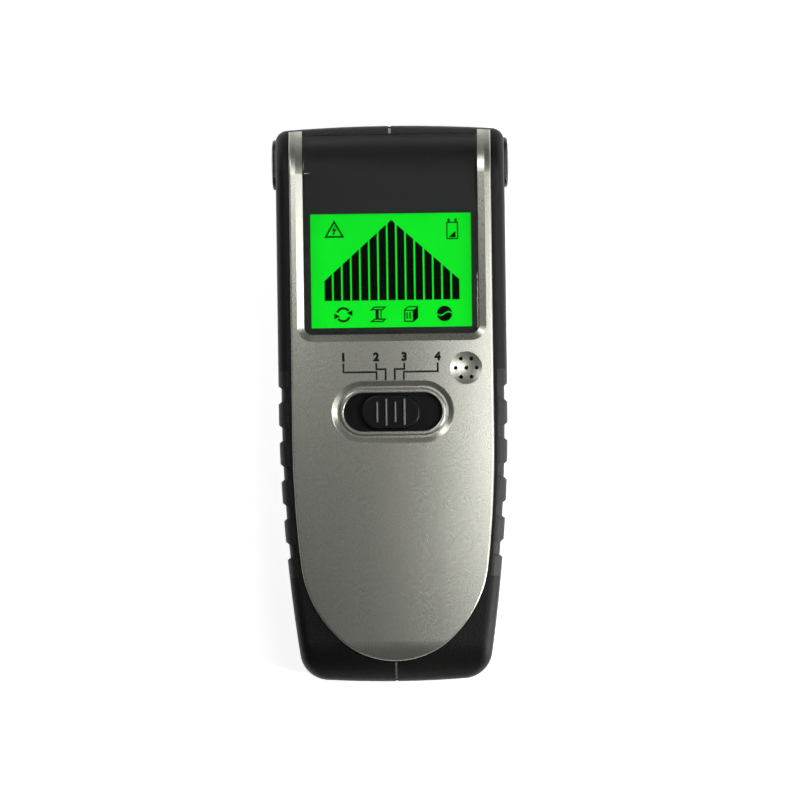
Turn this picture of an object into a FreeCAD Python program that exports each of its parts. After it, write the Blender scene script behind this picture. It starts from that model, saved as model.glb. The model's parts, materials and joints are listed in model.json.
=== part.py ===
import FreeCAD, Part
import math
import os

# A hand-held stud finder lying on its back.
# +Z points out of the display face, +Y to the sensor end, +X to the right of the display.
# The origin is the centre of the flat back. Every length is in millimetres.
#
# A "level" is the height at the centre line of a surface that follows the crowned, rolled front:
# every such surface is parallel to the silver cover's top, which is level FACE_LEVEL.

Vector = FreeCAD.Vector
X_AXIS = Vector(1, 0, 0)
Y_AXIS = Vector(0, 1, 0)
Z_AXIS = Vector(0, 0, 1)

# ---- case ----
BODY_LENGTH = 159.0
BODY_WIDTH = 65.4
FACE_LEVEL = 28.0
TAPER_RADIUS = 490.0      # side curve from the middle down to the handle end
TOP_END_RADIUS = 430.0
LOW_END_RADIUS = 303.0
TOP_CORNER = 3.6
LOW_CORNER = 8.3
CROWN_RADIUS = 420.0      # front surface, side to side, at FACE_LEVEL
ROLL_START = 66.0         # the front rolls down from here to the sensor end
ROLL_AXIS = 11.0
HEEL_START = -68.0        # and from here to the handle end
HEEL_AXIS = 13.0
SIDE_WALL = 3.0
BACK_WALL = 2.2
PARTING = 13.2
BACK_EDGE = 3.0
FRONT_EDGE = 3.4
FIT = 0.1                 # gap round a piece that is dropped into a recess

# ---- levels, from the outside in ----
CASE_LEVEL = 27.0
LENS_LEVEL = 27.3
COVER_SEAT = 26.0
MASK_LEVEL = 25.8
LENS_SEAT = 25.6
CEILING = 23.8

# ---- silver cover ----
COVER_TIP = -73.6
TIP_RADIUS = 23.5
FLANK_RADIUS = 34.2
SIDE_RADIUS = 334.0
TIP_ANGLE = 0.738         # where the tip arc meets the flank arc, from straight down
FLANK_ANGLE = 1.459       # where the flank arc meets the side arc
COVER_END_GAP = 0.5
COVER_BEVEL = 0.55

# ---- display ----
LENS_HALF = 25.0
LENS_LOW = 19.9
LENS_HIGH = 76.9
LENS_CORNER = 2.3
LENS_RIM = 0.5
SURROUND_WIDTH = 2.0
SURROUND_DEPTH = 0.75
LCD_HALF = 23.7
LCD_LOW = 20.7
LCD_HIGH = 55.0
LCD_TOP = 24.9
LCD_THICK = 2.2
GLOW_HALF = 22.9
GLOW_LOW = 21.8
GLOW_HIGH = 54.3

# ---- mode switch ----
SWITCH_Y = -2.4
OPENING_LENGTH = 28.1
OPENING_WIDTH = 11.0
DISH_LENGTH = 34.7
DISH_WIDTH = 17.6
DISH_DEPTH = 0.75
OUTER_SLOPE = 1.4         # the groove round the switch: its wide outer side and its narrow inner one
INNER_SLOPE = 0.3
LIP_WIDTH = 1.0
LIP_LEVEL = FACE_LEVEL - 0.15
KNOB_X = -0.65
KNOB_LENGTH = 16.8
KNOB_WIDTH = 10.0
KNOB_TOP = 28.4
SKIRT_LOW = 22.0
SKIRT_THICK = 0.8
SWITCH_STEP = 2.6
STEPS_LEFT = 1
STEPS_RIGHT = 2

# ---- buzzer grille ----
GRILLE_X = 21.1
GRILLE_Y = 9.95
GRILLE_RADIUS = 4.7
GRILLE_DEPTH = 0.55        # of its shallow round dish
GRILLE_HOLE = 0.55
GRILLE_RING = 3.0
GRILLE_HOLES = 6

# ---- side buttons ----
BUTTON_Y = 68.7           # middle of the button, which is long along the side
BUTTON_Z = 13.2
BUTTON_LENGTH = 14.4
BUTTON_HEIGHT = 7.6
BUTTON_RISE = 1.25
BUTTON_CROWN = 0.4        # how far its outer face falls to the ends and to the long edges
BUTTON_EDGE = 0.7
BUTTON_TRAVEL = 0.8
FLANGE_THICK = 1.15
TACT_OUTER = 24.0
TACT_DEPTH = 5.2

# ---- fine grooves ----
SEAM_HALF = 0.16
SEAM_DEPTH = 0.3
GROOVE_DEPTH = 0.5

# ---- side grips ----
GRIP_LOW = -49.5
GRIP_HIGH = 9.5
GRIP_BASE = 0.9
GRIP_WRAP = 2.8            # how far it reaches in over the case's shoulder
GRIP_DEPTH = 1.6
NOTCHES = 5
NOTCH_FIRST = 2.75
NOTCH_PITCH = 11.17
NOTCH_LENGTH = 5.2
NOTCH_DEPTH = 0.85
NOTCH_SLOPE = 0.7

# ---- boards ----
BOARD_LOW = 15.4
BOARD_TOP = 17.0
BOARD_HALF = 26.8
BOARD_SOUTH = -17.0
BOARD_NORTH = 74.0
SOLDER = 0.02             # a soldered or glued piece stands this far off its seat
SENSOR_LOW = 3.2
SENSOR_TOP = 4.2

# ---- battery, the standard 9 V block ----
BATTERY_LENGTH = 46.2
BATTERY_WIDTH = 26.2
BATTERY_THICK = 17.2
BATTERY_SOUTH = -74.6
BATTERY_LOW = 3.2
TERMINAL_RISE = 2.4
TERMINAL_SPREAD = 12.7

# ---- battery door ----
DOOR_HALF = 15.2
DOOR_NORTH = -22.0
DOOR_LOW = 0.15
DOOR_TOP = 2.15
TONGUE = 1.2
TONGUE_LOW = 1.15
LATCH_HALF = 6.0
LATCH_REACH = 3.0
DOOR_GAP = 0.1
THUMB_GROOVES = 6         # they shorten towards the handle end, like an arrow
THUMB_FIRST = 6.0
THUMB_PITCH = 2.2
THUMB_REACH = 8.5
THUMB_TAPER = 0.9

# ---- screws ----
BOSS_TOP = (14.0, 72.4)
BOSS_LOW = (20.8, -58.0)
BOSS_RADIUS = 3.4
SCREW_HEAD = 2.7
SCREW_SHANK = 1.35
SCREW_SEAT = 6.0
BOARD_POSTS = ((24.0, 59.4), (-24.0, 59.4), (24.0, -13.4), (-24.0, -13.4))
SENSOR_POSTS = ((22.5, 27.0), (-22.5, 27.0))


# ---- plain shapes ----
def box(x0, x1, y0, y1, z0, z1):
    return Part.makeBox(x1 - x0, y1 - y0, z1 - z0, Vector(x0, y0, z0))


def pin(x, y, z0, z1, radius):
    return Part.makeCylinder(radius, z1 - z0, Vector(x, y, z0), Z_AXIS)


def rod(start, end, radius):
    return Part.makeCylinder(radius, (end - start).Length, start, end - start)


def ring(x, y, z0, z1, outer, inner):
    return pin(x, y, z0, z1, outer).cut(pin(x, y, z0 - 1, z1 + 1, inner))


def stadium(x, y, length, width, z0, z1):
    """A slot shape, long along X, standing from z0 to z1."""
    reach = (length - width) / 2
    radius = width / 2
    middle = box(x - reach, x + reach, y - radius, y + radius, z0, z1)
    ends = [pin(x + side * reach, y, z0, z1, radius) for side in (-1, 1)]
    return middle.fuse(ends).removeSplitter()


def side_stadium(y, z, length, height, x0, x1):
    """A slot shape, long along Y, reaching from x0 to x1."""
    lying = stadium(0, 0, length, height, 0, x1 - x0)
    lying.rotate(Vector(0, 0, 0), Z_AXIS, 90)
    lying.rotate(Vector(0, 0, 0), Y_AXIS, 90)
    lying.translate(Vector(x0, y, z))
    return lying


def polygon_prism(points, z0, z1):
    corners = [Vector(x, y, z0) for x, y in points]
    face = Part.Face(Part.makePolygon(corners + corners[:1]))
    return face.extrude(Vector(0, 0, z1 - z0))


def round_upright(shape, radius, wanted=lambda x, y: True):
    """Rounds the upright edges at the places that wanted picks."""
    edges = []
    for edge in shape.Edges:
        ends = [vertex.Point for vertex in edge.Vertexes]
        if len(ends) == 2 and math.hypot(ends[0].x - ends[1].x, ends[0].y - ends[1].y) < 1e-4:
            if wanted(ends[0].x, ends[0].y):
                edges.append(edge)
    return shape.makeFillet(radius, edges)


def mirrored(shape):
    return shape.mirror(Vector(0, 0, 0), X_AXIS)


def group(shapes):
    return Part.makeCompound(shapes)


# ---- the case's outline, seen from the front ----
def side_x(y, inset=0.0):
    """Half the case's width at y."""
    if y >= 0:
        return BODY_WIDTH / 2 - inset
    centre = BODY_WIDTH / 2 - TAPER_RADIUS
    return centre + math.sqrt((TAPER_RADIUS - inset) ** 2 - y ** 2)


def end_y(x, sign, inset=0.0):
    """The y of the sensor end (sign 1) or the handle end (sign -1) at x."""
    radius = TOP_END_RADIUS if sign > 0 else LOW_END_RADIUS
    centre = BODY_LENGTH / 2 - radius
    return sign * (centre + math.sqrt((radius - inset) ** 2 - x ** 2))


def low_corner(inset):
    """Where the side curve meets the handle end, by repeated substitution."""
    x = BODY_WIDTH / 2
    for _ in range(12):
        y = end_y(x, -1, inset)
        x = side_x(y, inset)
    return x, y


def case_prism(inset, z0, z1):
    half = side_x(0, inset)
    top = end_y(half, 1, inset)
    low_x, low_y = low_corner(inset)
    middle_y = low_y / 2
    middle_x = side_x(middle_y, inset)
    edges = [
        Part.Arc(Vector(-half, top, z0), Vector(0, end_y(0, 1, inset), z0), Vector(half, top, z0)),
        Part.LineSegment(Vector(half, top, z0), Vector(half, 0, z0)),
        Part.Arc(Vector(half, 0, z0), Vector(middle_x, middle_y, z0), Vector(low_x, low_y, z0)),
        Part.Arc(Vector(low_x, low_y, z0), Vector(0, end_y(0, -1, inset), z0), Vector(-low_x, low_y, z0)),
        Part.Arc(Vector(-low_x, low_y, z0), Vector(-middle_x, middle_y, z0), Vector(-half, 0, z0)),
        Part.LineSegment(Vector(-half, 0, z0), Vector(-half, top, z0)),
    ]
    wire = Part.Wire([edge.toShape() for edge in edges])
    solid = Part.Face(wire).extrude(Vector(0, 0, z1 - z0))
    solid = round_upright(solid, max(TOP_CORNER - inset, 0.8), lambda x, y: y > 10)
    return round_upright(solid, max(LOW_CORNER - inset, 0.8), lambda x, y: y < -10)


# ---- everything below a level of the crowned front ----
def crown_z(level, x):
    radius = CROWN_RADIUS - (FACE_LEVEL - level)
    return level - radius + math.sqrt(radius ** 2 - x ** 2)


def crown_section(level, floor, y):
    reach = BODY_WIDTH / 2 + 4
    edge = crown_z(level, reach)
    arc = Part.Arc(Vector(-reach, y, edge), Vector(0, y, level), Vector(reach, y, edge)).toShape()
    corners = [(reach, edge), (reach, floor), (-reach, floor), (-reach, edge)]
    sides = Part.makePolygon([Vector(x, y, z) for x, z in corners]).Edges
    return Part.Face(Part.Wire([arc, *sides]))


def below(level):
    """The solid under a level: a crowned slab with its two ends turned down about cross axes."""
    reach = BODY_WIDTH / 2 + 4
    bottom = -5.0
    straight = crown_section(level, bottom, HEEL_START).extrude(Vector(0, ROLL_START - HEEL_START, 0))
    pieces = []
    for start, axis, sign in ((ROLL_START, ROLL_AXIS, 1), (HEEL_START, HEEL_AXIS, -1)):
        cap = crown_section(level, axis, start)
        pieces.append(cap.revolve(Vector(0, start, axis), X_AXIS, -90 * sign))
        y0, y1 = sorted((start, start + sign * (level - axis)))
        pieces.append(box(-reach, reach, y0, y1, bottom, axis))
    return straight.fuse(pieces).removeSplitter()


# ---- outlines on the front ----
def cover_prism(grow, z0, z1):
    """The silver cover's outline: straight sides, then three tangent arcs down to a round tip."""
    def outward(angle):
        return Vector(math.sin(angle), -math.cos(angle), 0)

    centre_low = Vector(0, COVER_TIP + TIP_RADIUS, z0)
    centre_flank = centre_low - outward(TIP_ANGLE) * (FLANK_RADIUS - TIP_RADIUS)
    centre_side = centre_flank - outward(FLANK_ANGLE) * (SIDE_RADIUS - FLANK_RADIUS)

    stops = (
        (centre_low, TIP_RADIUS, 0.0, TIP_ANGLE),
        (centre_flank, FLANK_RADIUS, TIP_ANGLE, FLANK_ANGLE),
        (centre_side, SIDE_RADIUS, FLANK_ANGLE, math.pi / 2),
    )
    right = []
    for centre, radius, first, last in stops:
        middle = (first + last) / 2
        right.append([centre + outward(angle) * (radius + grow) for angle in (first, middle, last)])
    half = right[-1][-1].x
    north = BODY_LENGTH / 2 + 5
    edges = [Part.Arc(*points).toShape() for points in right]
    flipped = [[Vector(-point.x, point.y, z0) for point in points] for points in right]
    edges += [Part.Arc(*points).toShape() for points in flipped]
    shoulder = Vector(half, right[-1][-1].y, z0)
    corners = [shoulder, Vector(half, north, z0), Vector(-half, north, z0), Vector(-half, shoulder.y, z0)]
    edges += Part.makePolygon(corners).Edges
    outline = Part.Face(Part.Wire(Part.__sortEdges__(edges)))
    return outline.extrude(Vector(0, 0, z1 - z0)).common(case_prism(COVER_END_GAP - grow, z0 - 1, z1 + 1))


def lens_prism(grow, north, z0, z1):
    block = box(-LENS_HALF - grow, LENS_HALF + grow, LENS_LOW - grow, north, z0, z1)
    return round_upright(block, LENS_CORNER + grow, lambda x, y: y < LENS_LOW + 1)


# ---- the case ----
def case_block(inset=0.0):
    """The case's rounded outer form, or the same form set in by a depth."""
    block = case_prism(inset, inset, 40).common(below(CASE_LEVEL - inset))
    rear = [edge for edge in block.Edges if edge.BoundBox.ZMax < inset + 0.01]
    block = block.makeFillet(BACK_EDGE - inset, rear)
    front = []
    for edge in block.Edges:
        point = edge.valueAt((edge.FirstParameter + edge.LastParameter) / 2)
        at_side = abs(point.x) > side_x(point.y, inset) - 0.9
        at_end = abs(point.y) > abs(end_y(point.x, 1, inset)) - 2.2
        flat = edge.BoundBox.ZLength < 6.5 and edge.Length > 1.5
        if point.z > 18 and (at_side or at_end) and flat:
            front.append(edge)
    return block.makeFillet(FRONT_EDGE - inset, front)


def grip_band(core, clearance):
    """The right grip's room: outside the core, round the side and its shoulder, over the grip's length."""
    y0, y1 = GRIP_LOW - clearance, GRIP_HIGH + clearance
    room = box(20, 40, y0, y1, GRIP_BASE - clearance, 40)
    return room.cut(case_prism(GRIP_WRAP + clearance, -5, 45)).cut(core)


def screw_places():
    places = []
    for x, y in (BOSS_TOP, BOSS_LOW):
        places += [(x, y), (-x, y)]
    return places


def button_slot(clearance):
    length = BUTTON_LENGTH + 2 * clearance
    return side_stadium(BUTTON_Y, BUTTON_Z, length, BUTTON_HEIGHT + 2 * clearance, 26, 40)


def grip_seats():
    seat = grip_band(case_block(GRIP_DEPTH), 0)
    return [seat, mirrored(seat)]


def front_shell(block, cavity):
    shell = block.common(box(-50, 50, -90, 90, PARTING, 40))
    shell = shell.cut(cavity)
    shell = shell.cut(cover_prism(FIT, 10, 45).cut(below(COVER_SEAT)).cut(lens_prism(-FIT, 90, 5, 50)))
    shell = shell.cut(lens_prism(FIT, LENS_HIGH + FIT, 5, 50).cut(below(LENS_SEAT)))
    posts = [pin(x, y, PARTING + FIT, 40, BOSS_RADIUS) for x, y in screw_places()]
    posts += [pin(x, y, BOARD_TOP, 40, 2.6) for x, y in BOARD_POSTS]
    posts = [post.common(below(CEILING + 0.5)).common(case_prism(SIDE_WALL - 0.5, 0, 40)) for post in posts]
    shell = shell.fuse(posts).removeSplitter()
    cuts = [pin(x, y, 0, 19.5, SCREW_SHANK + 0.05) for x, y in screw_places()]
    cuts += [pin(x, y, 0, 21.0, 0.9) for x, y in BOARD_POSTS]
    cuts.append(box(-LCD_HALF - FIT, LCD_HALF + FIT, LCD_LOW - FIT, LCD_HIGH + FIT, 10, 40))
    cuts.append(stadium(0, SWITCH_Y, OPENING_LENGTH + 0.8, OPENING_WIDTH + 0.8, 20, 40))
    cuts += grille_holes(GRILLE_HOLE + 0.1)
    cuts += grip_seats()
    cuts += [button_slot(FIT), mirrored(button_slot(FIT))]
    cuts += [*marking_grooves(), seam_groove()]
    return shell.cut(cuts)


def seam_groove():
    """The fine groove round the case where its two halves meet."""
    low, high = PARTING - SEAM_HALF, PARTING + SEAM_HALF
    return case_prism(-1, low, high).cut(case_prism(SEAM_DEPTH, low - 1, high + 1))


def marking_grooves():
    """A groove on the centre line at each end, over the front and down the end wall."""
    grooves = []
    under = below(CASE_LEVEL - GROOVE_DEPTH)
    inside = case_prism(GROOVE_DEPTH, -5, 45)
    for y0, y1, width in ((LENS_HIGH - 1, 82, 1.0), (-82, COVER_TIP + 1, 0.7)):
        slot = box(-width / 2, width / 2, y0, y1, BACK_EDGE, 40)
        grooves.append(slot.cut(under.common(inside)))
    return grooves


def grille_holes(radius):
    places = [(GRILLE_X, GRILLE_Y)]
    for index in range(GRILLE_HOLES):
        angle = math.radians(index * 360 / GRILLE_HOLES)
        places.append((GRILLE_X + GRILLE_RING * math.cos(angle), GRILLE_Y + GRILLE_RING * math.sin(angle)))
    return [pin(x, y, 15, 40, radius) for x, y in places]


def rear_shell(block, cavity):
    shell = block.common(box(-50, 50, -90, 90, -5, PARTING))
    shell = shell.cut(cavity)
    inner = case_prism(SIDE_WALL - 0.5, 0.5, PARTING - FIT)
    posts = [pin(x, y, 1, PARTING - FIT, BOSS_RADIUS).common(inner) for x, y in screw_places()]
    posts += [pin(x, y, 1, SENSOR_LOW, 2.4) for x, y in SENSOR_POSTS]
    rib = 1.2
    rib_half = BATTERY_WIDTH / 2 + 0.5
    rib_top = PARTING - FIT
    for sign in (-1, 1):
        x0, x1 = sorted((sign * rib_half, sign * (rib_half + rib)))
        posts.append(box(x0, x1, -77, DOOR_NORTH + 1.5, 1, rib_top))
    end_wall = box(-rib_half - rib, rib_half + rib, DOOR_NORTH + 0.4, DOOR_NORTH + 1.6, 1, rib_top)
    posts.append(end_wall.cut(box(-6, 6, -40, 0, 9.5, 20)))
    shell = shell.fuse(posts).removeSplitter()
    cuts = [pin(x, y, -1, SCREW_SEAT, SCREW_HEAD + 0.4) for x, y in screw_places()]
    cuts += [pin(x, y, -1, 20, SCREW_SHANK + 0.2) for x, y in screw_places()]
    cuts += [pin(x, y, 0.9, 10, 0.75) for x, y in SENSOR_POSTS]
    cuts += [door_hole(), label_block(0.0), seam_groove(), *marking_grooves()]
    cuts += grip_seats()
    cuts += [button_slot(FIT), mirrored(button_slot(FIT))]
    return shell.cut(cuts)


# ---- battery door ----
def door_hole():
    """The door's own shape with a gap all round, open at the handle end, and the way in for the battery."""
    gap = DOOR_GAP
    half = DOOR_HALF + gap
    rail = half + TONGUE
    latch = LATCH_HALF + gap
    north = DOOR_NORTH + gap
    top = DOOR_TOP + gap
    groove_low = TONGUE_LOW - gap
    battery_half = BATTERY_WIDTH / 2 + 0.3
    hole = box(-half, half, -90, north, -1, top)
    groove = box(-rail, rail, -90, north, groove_low, top)
    pocket = box(-latch, latch, -90, north + LATCH_REACH, groove_low, top)
    battery_way = box(-battery_half, battery_half, -75.5, north, -1, 5)
    return hole.fuse([groove, pocket, battery_way])


def battery_door(block):
    panel = box(-DOOR_HALF, DOOR_HALF, -90, DOOR_NORTH, DOOR_LOW, DOOR_TOP)
    rails = box(-DOOR_HALF - TONGUE, DOOR_HALF + TONGUE, -90, DOOR_NORTH, TONGUE_LOW, DOOR_TOP)
    latch = box(-LATCH_HALF, LATCH_HALF, DOOR_NORTH - 1, DOOR_NORTH + LATCH_REACH, TONGUE_LOW, DOOR_TOP)
    door = panel.fuse([rails, latch]).common(block)
    grooves = []
    for index in range(THUMB_GROOVES):
        y = DOOR_NORTH - THUMB_FIRST - index * THUMB_PITCH
        reach = THUMB_REACH - index * THUMB_TAPER
        grooves.append(box(-reach, reach, y - THUMB_PITCH / 4, y + THUMB_PITCH / 4, -1, DOOR_LOW + 0.5))
    return door.cut(grooves)


# ---- back details ----
def label_block(clearance):
    block = box(-19 + clearance, 19 - clearance, -8 + clearance, 44 - clearance, -1, 0.35)
    return round_upright(block, 2.0)


def rating_label():
    return label_block(FIT).common(box(-30, 30, -30, 60, 0.1, 0.35))


def case_screws():
    screws = []
    for x, y in screw_places():
        head = pin(x, y, SCREW_SEAT - 1.8, SCREW_SEAT, SCREW_HEAD)
        edge = [e for e in head.Edges if e.BoundBox.ZMax < SCREW_SEAT - 1.7]
        head = head.makeFillet(0.7, edge)
        shank = pin(x, y, SCREW_SEAT, 18.5, SCREW_SHANK)
        cross = box(x - 1.5, x + 1.5, y - 0.3, y + 0.3, SCREW_SEAT - 2, SCREW_SEAT - 0.9)
        other = box(x - 0.3, x + 0.3, y - 1.5, y + 1.5, SCREW_SEAT - 2, SCREW_SEAT - 0.9)
        screws.append(head.fuse(shank).cut([cross, other]))
    return group(screws)


# ---- silver cover ----
def face_plate():
    plate = cover_prism(0, 10, 45).common(below(FACE_LEVEL)).cut(below(COVER_SEAT))
    plate = plate.cut(lens_prism(0.05, 90, 5, 50))
    surround = top_edges(plate, lambda x, y: abs(x) < LENS_HALF + 0.3 and y > LENS_LOW - 0.3)
    plate = plate.makeChamfer(SURROUND_WIDTH, SURROUND_DEPTH, surround)
    rim = top_edges(plate, lambda x, y: abs(x) > LENS_HALF + 3 or y < LENS_LOW - 6)
    plate = plate.makeFillet(COVER_BEVEL, rim)
    plate = switch_ring(plate)
    return plate.cut([grille_dish(), *grille_holes(GRILLE_HOLE)])


def switch_ring(plate):
    """Cuts the mode switch's opening, the lip round it, and the two-sided groove round the lip."""
    straight = OPENING_LENGTH - OPENING_WIDTH
    lip_width = OPENING_WIDTH + 2 * LIP_WIDTH
    inner = lip_width + 2 * INNER_SLOPE
    outer = DISH_WIDTH - 2 * OUTER_SLOPE
    island = stadium(0, SWITCH_Y, inner + straight, inner, 10, 45)
    trench = stadium(0, SWITCH_Y, outer + straight, outer, 10, 45).cut(island).cut(below(FACE_LEVEL - DISH_DEPTH))
    plate = plate.cut([trench, island.cut(below(LIP_LEVEL))])
    plate = plate.makeChamfer(OUTER_SLOPE, DISH_DEPTH - 0.05, slot_edges(plate, outer, FACE_LEVEL))
    lip_fall = LIP_LEVEL - FACE_LEVEL + DISH_DEPTH - 0.05
    plate = plate.makeChamfer(lip_fall, INNER_SLOPE, slot_edges(plate, inner, LIP_LEVEL))
    plate = plate.cut(stadium(0, SWITCH_Y, OPENING_LENGTH, OPENING_WIDTH, 10, 45))
    for width, level, radius in (
        (DISH_WIDTH, FACE_LEVEL, 0.7),
        (lip_width, LIP_LEVEL, 0.4),
        (OPENING_WIDTH, LIP_LEVEL, 0.3),
    ):
        plate = plate.makeFillet(radius, slot_edges(plate, width, level))
    return plate


def grille_dish():
    """A ball that cuts the shallow dish of the grille, standing on the crowned front's own normal."""
    radius = (GRILLE_RADIUS ** 2 + GRILLE_DEPTH ** 2) / (2 * GRILLE_DEPTH)
    lean = math.asin(GRILLE_X / CROWN_RADIUS)
    rise = radius - GRILLE_DEPTH
    x = GRILLE_X + rise * math.sin(lean)
    z = crown_z(FACE_LEVEL, GRILLE_X) + rise * math.cos(lean)
    return Part.makeSphere(radius, Vector(x, GRILLE_Y, z))


def slot_edges(shape, width, level):
    """The edges at a level that run round the switch on a slot shape of that width."""
    reach = (OPENING_LENGTH - OPENING_WIDTH) / 2
    edges = []
    for edge in shape.Edges:
        middle = (edge.FirstParameter + edge.LastParameter) / 2
        points = [edge.valueAt(at) for at in (edge.FirstParameter, middle, edge.LastParameter)]
        fits = True
        for point in points:
            across = math.hypot(max(abs(point.x) - reach, 0), point.y - SWITCH_Y) - width / 2
            fits = fits and abs(across) < 0.01 and abs(level_of(point) - level) < 0.05
        if fits:
            edges.append(edge)
    return edges


def level_of(point):
    """The level of the crowned, rolled front surface that a point lies on."""
    height = point.z
    if point.y > ROLL_START:
        height = math.hypot(point.y - ROLL_START, point.z - ROLL_AXIS) + ROLL_AXIS
    elif point.y < HEEL_START:
        height = math.hypot(point.y - HEEL_START, point.z - HEEL_AXIS) + HEEL_AXIS
    return height + FACE_LEVEL - crown_z(FACE_LEVEL, point.x)


def top_edges(shape, wanted):
    """The edges on the silver cover's outer surface whose middle wanted(x, y) picks."""
    edges = []
    for edge in shape.Edges:
        ends = [edge.valueAt(edge.FirstParameter), edge.valueAt(edge.LastParameter)]
        point = edge.valueAt((edge.FirstParameter + edge.LastParameter) / 2)
        on_top = all(level_of(place) > FACE_LEVEL - 0.15 for place in (point, *ends))
        if on_top and wanted(point.x, point.y):
            edges.append(edge)
    return edges


# ---- display ----
def display_lens():
    lens = lens_prism(0, LENS_HIGH, 5, 50).common(below(LENS_LEVEL)).cut(below(MASK_LEVEL))
    rim = []
    for edge in lens.Edges:
        point = edge.valueAt((edge.FirstParameter + edge.LastParameter) / 2)
        on_rim = abs(point.x) > LENS_HALF - LENS_CORNER or point.y < LENS_LOW + 0.1
        if on_rim and level_of(point) > LENS_LEVEL - 0.1 and edge.Length > 1:
            rim.append(edge)
    return lens.makeFillet(LENS_RIM, rim)


def lens_mask():
    film = lens_prism(0, LENS_HIGH, 5, 50).common(below(MASK_LEVEL)).cut(below(LENS_SEAT))
    return film.cut(box(-GLOW_HALF, GLOW_HALF, GLOW_LOW, GLOW_HIGH, 5, 50))


def lcd_glass():
    half = LCD_HALF - FIT
    glass = box(-half, half, LCD_LOW + FIT, LCD_HIGH - FIT, LCD_TOP - LCD_THICK, LCD_TOP)
    rim = [edge for edge in glass.Edges if edge.BoundBox.ZMin > LCD_TOP - 0.01]
    return glass.makeChamfer(0.3, rim)


LCD_SEAT = LCD_TOP - LCD_THICK - 0.05
BACKLIGHT_SOUTH = LCD_LOW + 3.5
BACKLIGHT_NORTH = LCD_HIGH - 3.4
BACKLIGHT_LOW = 19.6
STRIP_WIDTH = 1.8


def backlight_panel():
    south, north = BACKLIGHT_SOUTH, BACKLIGHT_NORTH
    panel = box(-LCD_HALF + FIT, LCD_HALF - FIT, south, north, BACKLIGHT_LOW, LCD_SEAT)
    pockets = []
    for x in (-12, 0, 12):
        pockets.append(box(x - 1.6, x + 1.6, south - 0.1, south + 0.9, BACKLIGHT_LOW - 1, LCD_SEAT - 0.6))
    return panel.cut(pockets)


def backlight_lamps():
    """The lamps that light the panel from its south edge."""
    lamps = []
    for x in (-12, 0, 12):
        south = BACKLIGHT_SOUTH
        lamps.append(box(x - 1.5, x + 1.5, south - 0.05, south + 0.8, BACKLIGHT_LOW - 0.05, LCD_SEAT - 0.7))
    return group(lamps)


def strip_places():
    """The south edge of each conductive strip that joins the display to the main board."""
    return LCD_LOW + 0.7, LCD_HIGH - 0.7 - STRIP_WIDTH


def lcd_contact_strips():
    reach = LCD_HALF - 1.2
    low = BOARD_TOP + SOLDER
    return group([box(-reach, reach, y, y + STRIP_WIDTH, low, LCD_SEAT) for y in strip_places()])


def lcd_frame():
    wall = 1.9
    frame = box(-LCD_HALF - wall, LCD_HALF + wall, LCD_LOW - 1.4, LCD_HIGH + 1.2, BOARD_TOP + SOLDER, 22.4)
    frame = round_upright(frame, 1.0)
    south, north = BACKLIGHT_SOUTH, BACKLIGHT_NORTH
    half = LCD_HALF - 1
    cuts = [box(-LCD_HALF, LCD_HALF, south - FIT, north + FIT, BACKLIGHT_LOW - 0.1, 30)]
    cuts.append(box(-half, half, south + 1, north - 1, 10, BACKLIGHT_LOW - 1))
    for y in strip_places():
        cuts.append(box(-half - FIT, half + FIT, y - FIT, y + STRIP_WIDTH + FIT, 10, 30))
    return frame.cut(cuts)


# ---- mode switch ----
TRAVEL_LEFT = STEPS_LEFT * SWITCH_STEP
TRAVEL_RIGHT = STEPS_RIGHT * SWITCH_STEP
SWITCH_CENTRE = KNOB_X + (TRAVEL_RIGHT - TRAVEL_LEFT) / 2
SWITCH_REACH = (TRAVEL_RIGHT + TRAVEL_LEFT) / 2
LEVER_TOP = SKIRT_LOW - 0.1
SWITCH_TOP = 20.5


def switch_knob():
    """The knob, the skirt that hides the opening at every setting, and the fork on the lever."""
    knob = stadium(KNOB_X, SWITCH_Y, KNOB_LENGTH, KNOB_WIDTH, SKIRT_LOW, KNOB_TOP - 0.4)
    rim = [edge for edge in knob.Edges if edge.BoundBox.ZMin > KNOB_TOP - 0.5]
    knob = knob.makeFillet(0.5, rim)
    knob = knob.cut(stadium(KNOB_X, SWITCH_Y, KNOB_LENGTH - 2.4, KNOB_WIDTH - 2.4, KNOB_TOP - 0.9, 40))
    ridges = []
    for index in range(4):
        x = KNOB_X - 3.85 + index * SWITCH_STEP
        reach = 3.9 if index % 2 else 2.95
        half = 0.45 if index == 3 else 0.32
        ridge = box(x - half, x + half, SWITCH_Y - reach, SWITCH_Y + reach, KNOB_TOP - 1.2, KNOB_TOP)
        top = [edge for edge in ridge.Edges if edge.BoundBox.ZMin > KNOB_TOP - 0.01]
        ridges.append(ridge.makeFillet(half - 0.04, top))
    west = KNOB_X - OPENING_LENGTH / 2 - TRAVEL_RIGHT + 0.05
    east = KNOB_X + OPENING_LENGTH / 2 + TRAVEL_LEFT + 1.3
    half = OPENING_WIDTH / 2 + 0.9
    skirt = box(west, east, SWITCH_Y - half, SWITCH_Y + half, SKIRT_LOW, SKIRT_LOW + SKIRT_THICK)
    skirt = round_upright(skirt, 3.0)
    prongs = []
    for side in (-1, 1):
        x0, x1 = sorted((KNOB_X + side * 1.05, KNOB_X + side * 2.05))
        prongs.append(box(x0, x1, SWITCH_Y - 1.2, SWITCH_Y + 1.2, SWITCH_TOP + 0.3, SKIRT_LOW + 0.1))
    return knob.fuse([skirt, *ridges, *prongs]).removeSplitter()


def mode_switch_body():
    x, y = SWITCH_CENTRE, SWITCH_Y
    body = box(x - 8.5, x + 8.5, y - 3.3, y + 3.3, BOARD_TOP + SOLDER, SWITCH_TOP)
    reach = SWITCH_REACH + 2.1
    track = box(x - reach, x + reach, y - 1.6, y + 1.6, 18.3, 20.0)
    slot = box(x - reach + 1, x + reach - 1, y - 0.9, y + 0.9, 19.9, 22)
    return body.cut([track, slot])


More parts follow.
